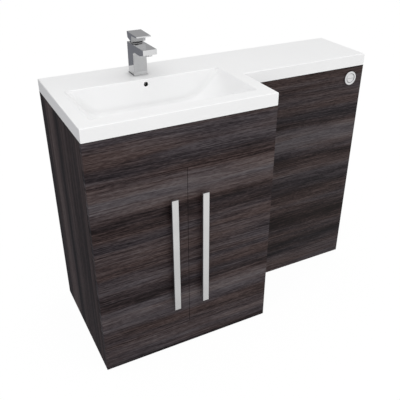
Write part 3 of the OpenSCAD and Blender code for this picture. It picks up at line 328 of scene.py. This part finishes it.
def moulded(name, colour, roughness, bump=0.08):
    """Moulded plastic or rubber with a fine skin."""
    surface = Surface(name, Metallic=0.0)
    skin = surface.noise(surface.stretched((160, 160, 160)), 3, 0.6)
    flow = surface.noise(surface.stretched((6, 6, 6)), 2)
    paler = tuple(min(1.0, 1.06 * c + 0.004) for c in colour)
    surface.set("Base Color", surface.tinted(flow, colour, paler))
    surface.rough(skin, roughness - 0.06, roughness + 0.06)
    surface.bump(skin, bump, 0.0003)
    return surface.material


def chipboard():
    """The dark melamine-faced boards of the carcass, with a faint streak."""
    surface = Surface("board", Metallic=0.0)
    chips = surface.noise(surface.stretched((420, 420, 420)), 4, 0.75)
    streaks = surface.noise(surface.stretched((5, 80, 80)), 3, 0.6)
    brown = surface.tinted(streaks, (0.030, 0.025, 0.024), (0.060, 0.050, 0.047))
    surface.set("Base Color", brown)
    surface.rough(chips, 0.5, 0.62)
    surface.bump(chips, 0.12, 0.0003)
    return surface.material


def beech():
    """Pale wood of the dowels, with its grain along x."""
    surface = Surface("beech", Metallic=0.0)
    rings = surface.noise(surface.stretched((30, 400, 400)), 3, 0.6)
    surface.set("Base Color", surface.tinted(rings, (0.46, 0.29, 0.15), (0.62, 0.43, 0.25)))
    surface.rough(rings, 0.55, 0.7)
    surface.bump(rings, 0.2, 0.0003)
    return surface.material


# Above this height the collar's colour is near black: painted shade in the gap under the lever's hub.
GAP_SHADOW_FROM = 0.9524
GAP_SHADOW_BLEND = 0.0004


def collar():
    """A satin grey ring, near black above a set height as painted shade under the lever's hub."""
    surface = Surface("dark_collar", Metallic=0.0)
    marks = surface.noise(surface.stretched((300, 300, 300)), 2)
    gap_shadow = surface.spread(surface.axis("z"), GAP_SHADOW_FROM, GAP_SHADOW_FROM + GAP_SHADOW_BLEND)
    # Painted shade: near black above the set height, for the gap under the lever's hub.
    surface.set("Base Color", surface.mix(gap_shadow, (0.40, 0.40, 0.405), (0.030, 0.030, 0.032)))
    surface.rough(marks, 0.40, 0.50)
    surface.set("Specular IOR Level", 0.3)
    surface.bump(marks, 0.05, 0.0002)
    return surface.material


SATIN = (0.635, 0.635, 0.632)
CHROME = (0.635, 0.637, 0.643)
SIDES = {"across": "y", "shift": 6.1, "tone": 1.09, "calm": 0.85, "slate_from": 0.9}
MATERIALS = {
    "cast_basin": cast_resin(),
    "laminate_fronts": laminate("laminate_fronts", FRONT_BANDS, shift=9.1, tone=1.18, calm=0.94),
    "laminate_sides": laminate("laminate_sides", SIDE_BANDS, **SIDES),
    "board": chipboard(),
    "beech": beech(),
    "chrome": metal("chrome", CHROME, 0.06, 0.12, bump=0.01),
    "satin_bar": metal("satin_bar", SATIN, 0.26, 0.34, grain=(900, 900, 12), bump=0.06),
    "zinc_steel": metal("zinc_steel", (0.62, 0.62, 0.60), 0.25, 0.42),
    "dark_collar": collar(),
    "brass_fixings": metal("brass_fixings", (0.72, 0.55, 0.26), 0.25, 0.38),
    "white_plastic": moulded("white_plastic", (0.76, 0.76, 0.73), 0.38),
    "blue_plastic": moulded("blue_plastic", (0.05, 0.17, 0.42), 0.38),
    "clear_bumper": moulded("clear_bumper", (0.70, 0.70, 0.68), 0.25),
    "black_rubber": moulded("black_rubber", (0.018, 0.018, 0.018), 0.62, bump=0.15),
    "red_seal": moulded("red_seal", (0.42, 0.035, 0.025), 0.5),
    "tube_plastic": moulded("tube_plastic", (0.42, 0.56, 0.64), 0.3),
}
# The cistern cabinet's front has its own stretch of the print.
OWN_MATERIAL = {
    "wc_front_panel": laminate("laminate_wc_front", WC_BANDS, shift=9.1, tone=1.02),
}


def dress(piece, material):
    piece.data.materials.clear()
    piece.data.materials.append(material)


for name, piece in nodes.items():
    dress(piece, OWN_MATERIAL.get(name, MATERIALS[slot_of[name]]))

# ---------------------------------------------------------------- basin


def mm(x, y, z):
    """A point of the drawing, in mm from the left end, the wall and the floor, in the frame."""
    return Vector(((x - TOTAL_W / 2) / 1000, (y + TOTAL_D / 2) / 1000, z / 1000))


# The bowl's hollow. Its ends have a slope in degrees and the radius of the sweep into the floor,
# and they fan out from the ones at the back wall to the one at the front.
SLAB_TOP = 850
BOWL_X = (42, 558)
BOWL_Y = (-157, -400)
BOWL_DEPTH = 88
FLOOR_FALL = 8
BACK_DRAFT = 2
FRONT_DRAFT = 6
FAN_REACH = 210
BACK_RIGHT = (43, 110)
BACK_LEFT = (50, 80)
FRONT_END = (52, 50)
UPPER_STEP = 0.3
SWEEP_STEPS = 24
# The waste, in a round recess of the floor, and the overflow in the back wall.
WASTE = (300, -270)
RECESS_R = 36
RECESS_STEPS = 48
WASTE_HOLE_R = 22
WASTE_HOLE_Z = (735, 770)
OVERFLOW_R = 7
OVERFLOW_Z = 833
OVERFLOW_Y = (-164, -142)
# The first stretch of the overflow's bore, in mm from the bowl, that is black as painted shade.
OVERFLOW_PAINTED_SHADE = 25
EDGE_SLACK = 0.4
# The eased rim, and the mesh of the smooth hollow: rays around it and down it, and the rounds and
# weights that round its creases outside the recess.
RIM_CORNER = 7.0
RIM_EASE = 3.2
EASE_STEPS = 4
AROUND = 288
DOWN = 72
CREASE_ROUNDS = 7
CREASE_KEEP = 0.4
CREASE_SHARE = 0.15
RECESS_MARGIN = 9
RIM_SEARCH = 500.0
RIM_HALVINGS = 40
RIM_LIFT = 0.02
LID_LIFT = 6
EYE_DROP = 0.001
# The fill around the stepped hollow, which the smooth one is cut from.
FILL = {"grow": 4.0, "top": 1.0, "drop": 1.0}
ROD_AROUND = 64
SHARP_ANGLE = 32
MERGE_WITHIN = 1e-6  # metres


def end_inset(slope, sweep, depth):
    """How far an end of the bowl has come in at a depth: straight at a slope, then a sweep."""
    angle = math.radians(slope)
    if depth <= BOWL_DEPTH - sweep * (1 - math.cos(angle)):
        return depth / math.tan(angle)
    foot = BOWL_DEPTH / math.tan(angle) + sweep * math.tan(angle / 2)
    return foot - sweep * math.sin(math.acos(max(-1, 1 - (BOWL_DEPTH - depth) / sweep)))


def bowl_section(depth, grow=0.0):
    """The hollow's six-cornered outline at a depth, made larger by grow."""
    back = BOWL_Y[0] - depth * math.tan(math.radians(BACK_DRAFT)) + grow
    front = BOWL_Y[1] + depth * math.tan(math.radians(FRONT_DRAFT)) - grow
    fan = BOWL_Y[0] - FAN_REACH * depth / BOWL_DEPTH
    left_back = BOWL_X[0] + end_inset(*BACK_LEFT, depth) - grow
    left_front = BOWL_X[0] + end_inset(*FRONT_END, depth) - grow
    right_back = BOWL_X[1] - end_inset(*BACK_RIGHT, depth) + grow
    right_front = BOWL_X[1] - end_inset(*FRONT_END, depth) + grow
    return [
        (left_back, back), (left_front, fan), (left_front, front),
        (right_front, front), (right_front, fan), (right_back, back),
    ]


def bowl_hull(grow=0.0, top=0.0, drop=0.0):
    """The bowl's hollow as one convex form, with finely stepped sweeps."""
    bm = bmesh.new()
    depths = [top, BOWL_DEPTH * UPPER_STEP]
    for slope, sweep in (BACK_RIGHT, BACK_LEFT, FRONT_END):
        angle = math.radians(slope)
        for step in range(SWEEP_STEPS + 1):
            rise = sweep * (1 - math.cos(angle * (1 - step / SWEEP_STEPS)))
            depths.append(BOWL_DEPTH - rise)
    for depth in sorted(set(depths)):
        for x, y in bowl_section(depth, grow):
            bm.verts.new(mm(x, y, SLAB_TOP - depth - drop))
    for step in range(RECESS_STEPS):
        turn = math.tau * step / RECESS_STEPS
        r = RECESS_R + grow
        x, y = WASTE[0] + r * math.cos(turn), WASTE[1] + r * math.sin(turn)
        bm.verts.new(mm(x, y, SLAB_TOP - BOWL_DEPTH - FLOOR_FALL - drop))
    found = bmesh.ops.convex_hull(bm, input=bm.verts[:])
    spare = found["geom_interior"] + found["geom_unused"]
    inside = {item for item in spare if isinstance(item, bmesh.types.BMVert)}
    bmesh.ops.delete(bm, geom=list(inside), context="VERTS")
    bmesh.ops.recalc_face_normals(bm, faces=bm.faces[:])
    return bm


def rim_outline(angle):
    """The point of the rim, with its eased corners, on a ray from the waste, and its normal."""
    middle = Vector(((BOWL_X[0] + BOWL_X[1]) / 2, (BOWL_Y[0] + BOWL_Y[1]) / 2))
    half = Vector(((BOWL_X[1] - BOWL_X[0]) / 2, (BOWL_Y[0] - BOWL_Y[1]) / 2))
    ray = Vector((math.cos(angle), math.sin(angle)))
    start = Vector(WASTE) - middle

    def past_corner(spot):
        """How far a point is past the centre of the eased corner, along x and along y."""
        past_x = max(abs(spot.x) - half.x + RIM_CORNER, 0)
        past_y = max(abs(spot.y) - half.y + RIM_CORNER, 0)
        return Vector((past_x, past_y))

    def outside(spot):
        over = past_corner(spot)
        if over.x > 0 and over.y > 0:
            return over.length - RIM_CORNER
        return max(abs(spot.x) - half.x, abs(spot.y) - half.y)

    low, high = 0.0, RIM_SEARCH
    for _ in range(RIM_HALVINGS):
        half_way = (low + high) / 2
        low, high = (half_way, high) if outside(start + ray * half_way) < 0 else (low, half_way)
    spot = start + ray * low
    over = past_corner(spot)
    if over.x > 0 and over.y > 0:
        normal = Vector((math.copysign(over.x, spot.x), math.copysign(over.y, spot.y))).normalized()
    elif abs(spot.x) - half.x > abs(spot.y) - half.y:
        normal = Vector((math.copysign(1, spot.x), 0))
    else:
        normal = Vector((0, math.copysign(1, spot.y)))
    return spot + middle, normal


def round_creases(rows, eye):
    """Eases a grid of points towards their neighbours, apart from the recess and the outer rows."""
    held_r = (RECESS_R + RECESS_MARGIN) / 1000
    for _ in range(CREASE_ROUNDS):
        fresh = [row[:] for row in rows]
        for k in range(1, len(rows) - 1):
            for i in range(AROUND):
                spot = rows[k][i]
                if (spot.xy - eye.xy).length > held_r:
                    beside = rows[k][i - 1] + rows[k][(i + 1) % AROUND]
                    near = beside + rows[k - 1][i] + rows[k + 1][i]
                    fresh[k][i] = CREASE_KEEP * spot + CREASE_SHARE * near
        rows = fresh
    return rows


def eased_rim(wall):
    """Rows of points that roll from the slab's top, outside the rim, down to the wall below it."""
    eased = [[] for _ in range(EASE_STEPS + 1)]
    for i in range(AROUND):
        spot, normal = rim_outline(math.tau * i / AROUND)
        edge = mm(*spot, SLAB_TOP)
        inward = (wall[i] - edge).normalized()
        low = edge + inward * RIM_EASE / 1000
        out = edge + Vector((*normal, 0)) * RIM_EASE / 1000 + Vector((0, 0, RIM_LIFT / 1000))
        for step in range(EASE_STEPS + 1):
            t = step / EASE_STEPS
            eased[step].append(out * (1 - t) ** 2 + 2 * edge * t * (1 - t) + low * t * t)
    return eased


def smooth_bowl():
    """A closed cutter: the hollow with rounded creases, an eased rim and a lid above the slab."""
    hull = bowl_hull()
    tree = BVHTree.FromBMesh(hull)
    eye = mm(*WASTE, SLAB_TOP - EYE_DROP)
    rows = []
    for down in range(1, DOWN):
        tilt = math.radians(90) * down / DOWN
        row = []
        for around in range(AROUND):
            turn = math.tau * around / AROUND
            flat = math.cos(tilt)
            way = Vector((math.cos(turn) * flat, math.sin(turn) * flat, -math.sin(tilt)))
            row.append(tree.ray_cast(eye, way)[0])
        rows.append(row)
    hull.free()
    rows = round_creases(rows, eye)
    eased = eased_rim(rows[1])
    lid = [spot + Vector((0, 0, LID_LIFT / 1000)) for spot in eased[0]]
    bm = bmesh.new()
    grid = [[bm.verts.new(spot) for spot in row] for row in [lid] + eased + rows[1:]]
    for k in range(len(grid) - 1):
        for i in range(AROUND):
            j = (i + 1) % AROUND
            bm.faces.new((grid[k][i], grid[k][j], grid[k + 1][j], grid[k + 1][i]))
    bm.faces.new(grid[0])
    bm.faces.new(reversed(grid[-1]))
    bmesh.ops.recalc_face_normals(bm, faces=bm.faces[:])
    return bm


def rod(a, b, radius):
    """A closed rod between two points."""
    bm = bmesh.new()
    turn = (b - a).to_track_quat("Z", "Y")
    circle = [
        Vector((math.cos(math.tau * i / ROD_AROUND), math.sin(math.tau * i / ROD_AROUND), 0))
        for i in range(ROD_AROUND)
    ]
    rings = [[bm.verts.new(end + turn @ spot * radius) for spot in circle] for end in (a, b)]
    for i in range(ROD_AROUND):
        j = (i + 1) % ROD_AROUND
        bm.faces.new((rings[0][i], rings[0][j], rings[1][j], rings[1][i]))
    bm.faces.new(reversed(rings[0]))
    bm.faces.new(rings[1])
    bmesh.ops.recalc_face_normals(bm, faces=bm.faces[:])
    return bm


def solid(name, bm):
    """A mesh object from a bmesh, which is freed."""
    mesh = bpy.data.meshes.new(name)
    bm.to_mesh(mesh)
    bm.free()
    piece = bpy.data.objects.new(name, mesh)
    bpy.context.scene.collection.objects.link(piece)
    return piece


def cut(piece, steps):
    """Applies boolean steps, each an operation and a closed bmesh, to a piece."""
    tools = []
    for operation, bm in steps:
        tool = solid("tool", bm)
        tools.append(tool)
        step = piece.modifiers.new("step", "BOOLEAN")
        step.operation = operation
        step.solver = "EXACT"
        step.object = tool
    shown = piece.evaluated_get(bpy.context.evaluated_depsgraph_get())
    mesh = bpy.data.meshes.new_from_object(shown)
    piece.modifiers.clear()
    old = piece.data
    piece.data = mesh
    bpy.data.meshes.remove(old)
    for tool in tools:
        mesh = tool.data
        bpy.data.objects.remove(tool)
        bpy.data.meshes.remove(mesh)


def smooth_by_angle(piece, degrees):
    """Smooth shading, split where two faces meet at more than an angle, weighted by face size."""
    limit = math.radians(degrees)
    bm = bmesh.new()
    bm.from_mesh(piece.data)
    for face in bm.faces:
        face.smooth = True
    for edge in bm.edges:
        edge.smooth = len(edge.link_faces) == 2 and edge.calc_face_angle() < limit
    bm.to_mesh(piece.data)
    bm.free()
    weight = piece.modifiers.new("weight", "WEIGHTED_NORMAL")
    weight.keep_sharp = True


def paint_overflow_shade(basin):
    """Gives the overflow's bore the second material, black rubber, as painted shade inside the hole,
    and leaves the channel behind it white.
    """
    middle = mm(WASTE[0], 0, OVERFLOW_Z)
    mouth = mm(0, BOWL_Y[0] - EDGE_SLACK, 0).y
    inner = mm(0, BOWL_Y[0] + OVERFLOW_PAINTED_SHADE, 0).y
    for face in basin.data.polygons:
        off = (face.center - middle) * 1000
        if math.hypot(off.x, off.z) < OVERFLOW_R + EDGE_SLACK and face.center.y > mouth:
            face.material_index = 1 if face.center.y < inner else 0


def make_basin():
    """The cast top with a finely swept bowl and an eased rim in place of the stepped one."""
    source = bmesh.new()
    source.from_mesh(nodes["basin_top"].data)
    bmesh.ops.remove_doubles(source, verts=source.verts[:], dist=MERGE_WITHIN)
    basin = solid("basin_cast", source)
    overflow = [mm(WASTE[0], y, OVERFLOW_Z) for y in OVERFLOW_Y]
    waste = [mm(*WASTE, z) for z in WASTE_HOLE_Z]
    steps = [
        ("UNION", bowl_hull(**FILL)),
        ("DIFFERENCE", smooth_bowl()),
        ("DIFFERENCE", rod(*overflow, OVERFLOW_R / 1000)),
        ("DIFFERENCE", rod(*waste, WASTE_HOLE_R / 1000)),
    ]
    cut(basin, steps)
    smooth_by_angle(basin, SHARP_ANGLE)
    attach(basin, "cabinet")
    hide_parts("basin_top")
    dress(basin, MATERIALS["cast_basin"])
    # The second material, black rubber, stands in as painted shade inside the overflow's bore.
    basin.data.materials.append(MATERIALS["black_rubber"])
    paint_overflow_shade(basin)


make_basin()

# ---------------------------------------------------------------- stage and light

FLOOR_REACH = 14.0
SWEEP_REACH = 18.0
SWEEP_HEIGHT = 12.0
SWEEP_FOOT = 0.002
SWEEP_BENDS = 12
SWEEP_AROUND = 96
STAGE_GLOW = 0.96
KEY_AT = (-1.3, -1.9, 3.7)
KEY_AIM = (0, 0, 0.6)
KEY_WIDTH = 3.2
KEY_POWER = 38
# How bright the room is by the cosine to an axis, for the light that falls on the unit.
ROOM_AXIS = Vector((0.62, -0.50, 0.60)).normalized()
ROOM = [
    (-1.0, (0.36, 0.36, 0.37)),
    (-0.55, (0.50, 0.50, 0.505)),
    (0.0, (0.71, 0.71, 0.71)),
    (0.5, (0.88, 0.88, 0.88)),
    (1.0, (0.90, 0.90, 0.90)),
]
# The same for what the unit mirrors.
SKY_AXIS = Vector((0.70, -0.55, 0.45)).normalized()
SKY = [
    (-1.0, (0.238, 0.243, 0.274)),
    (-0.80, (0.222, 0.227, 0.250)),
    (-0.60, (0.150, 0.152, 0.160)),
    (-0.35, (0.220, 0.222, 0.226)),
    (-0.15, (0.430, 0.430, 0.435)),
    (0.20, (0.520, 0.520, 0.522)),
    (0.42, (1.080, 1.080, 1.080)),
    (1.0, (1.060, 1.060, 1.058)),
]
# How much of the room a mirrored mirror still shows. The world counts the first mirrored ray as 2.
SECOND_MIRROR = 0.78
FIRST_MIRROR_DEPTH = 2.0


def stage_piece(name, mesh):
    """A surface that glows almost white, and neither lights the unit nor shows in its chrome."""
    piece = bpy.data.objects.new(name, mesh)
    bpy.context.scene.collection.objects.link(piece)
    surface = Surface(name, Roughness=0.9, Emission_Strength=STAGE_GLOW)
    surface.set("Base Color", (0.05, 0.05, 0.05, 1))
    surface.set("Emission Color", (1, 1, 1, 1))
    surface.set("Specular IOR Level", 0.0)
    dress(piece, surface.material)
    piece.visible_glossy = False
    piece.visible_diffuse = False
    return piece


def make_stage():
    """A pale floor, and a pale sweep around it that only the camera sees."""
    mesh = bpy.data.meshes.new("floor")
    r = SWEEP_REACH
    mesh.from_pydata([(-r, -r, 0), (r, -r, 0), (r, r, 0), (-r, r, 0)], [], [(0, 1, 2, 3)])
    stage_piece("floor", mesh)
    rings = [(FLOOR_REACH, SWEEP_FOOT)]
    bend = SWEEP_REACH - FLOOR_REACH
    for step in range(1, SWEEP_BENDS + 1):
        angle = math.radians(90 / SWEEP_BENDS * step)
        out, up = bend * math.sin(angle), bend * (1 - math.cos(angle))
        rings.append((FLOOR_REACH + out, SWEEP_FOOT + up))
    rings.append((SWEEP_REACH, SWEEP_HEIGHT))
    n = SWEEP_AROUND
    turns = [math.tau * i / n for i in range(n)]
    points = [(r * math.cos(turn), r * math.sin(turn), z) for r, z in rings for turn in turns]
    faces = [
        (k * n + i, (k + 1) * n + i, (k + 1) * n + (i + 1) % n, k * n + (i + 1) % n)
        for k in range(len(rings) - 1)
        for i in range(n)
    ]
    mesh = bpy.data.meshes.new("sweep")
    mesh.from_pydata(points, [], faces)
    sweep = stage_piece("sweep", mesh)
    sweep.visible_transmission = False
    sweep.visible_shadow = False


def make_key_light():
    """One wide soft light from the front left, which the chrome doesn't mirror."""
    data = bpy.data.lights.new("key", "AREA")
    data.size = KEY_WIDTH
    data.energy = KEY_POWER
    light = bpy.data.objects.new("key", data)
    light.location = KEY_AT
    light.rotation_mode = "QUATERNION"
    light.rotation_quaternion = (Vector(KEY_AIM) - Vector(KEY_AT)).to_track_quat("-Z", "Y")
    light.visible_glossy = False
    bpy.context.scene.collection.objects.link(light)


def make_world():
    """An even room for the light that falls on things, and its sides for what they mirror."""
    world = bpy.data.worlds.new("studio")
    world.use_nodes = True
    bpy.context.scene.world = world
    tree = world.node_tree
    direction = tree.nodes.new("ShaderNodeTexCoord").outputs["Generated"]

    def sides(axis, stops):
        along = tree.nodes.new("ShaderNodeVectorMath")
        along.operation = "DOT_PRODUCT"
        tree.links.new(direction, along.inputs[0])
        along.inputs[1].default_value = axis
        place = tree.nodes.new("ShaderNodeMapRange")
        tree.links.new(along.outputs["Value"], place.inputs["Value"])
        place.inputs["From Min"].default_value = -1.0
        ramp = tree.nodes.new("ShaderNodeValToRGB")
        ramp.color_ramp.interpolation = "EASE"
        tree.links.new(place.outputs["Result"], ramp.inputs["Fac"])
        elements = ramp.color_ramp.elements
        while len(elements) < len(stops):
            elements.new(0.5)
        for element, (cosine, colour) in zip(elements, stops):
            element.position = (cosine + 1) / 2
            element.color = (*colour, 1)
        return ramp.outputs["Color"]

    path = tree.nodes.new("ShaderNodeLightPath")
    level = tree.nodes.new("ShaderNodeMapRange")
    tree.links.new(path.outputs["Ray Depth"], level.inputs["Value"])
    level.inputs["From Min"].default_value = FIRST_MIRROR_DEPTH
    level.inputs["From Max"].default_value = FIRST_MIRROR_DEPTH + 1
    level.inputs["To Min"].default_value = 1.0
    level.inputs["To Max"].default_value = SECOND_MIRROR
    mirrored = tree.nodes.new("ShaderNodeVectorMath")
    mirrored.operation = "SCALE"
    tree.links.new(sides(SKY_AXIS, SKY), mirrored.inputs[0])
    tree.links.new(level.outputs["Result"], mirrored.inputs["Scale"])
    pick = tree.nodes.new("ShaderNodeMix")
    pick.data_type = "RGBA"
    tree.links.new(path.outputs["Is Glossy Ray"], pick.inputs["Factor"])
    tree.links.new(sides(ROOM_AXIS, ROOM), pick.inputs["A"])
    tree.links.new(mirrored.outputs[0], pick.inputs["B"])
    tree.links.new(pick.outputs["Result"], tree.nodes["Background"].inputs["Color"])


make_stage()
make_world()
make_key_light()

view_settings = bpy.context.scene.view_settings
view_settings.view_transform = "Standard"
view_settings.look = "None"
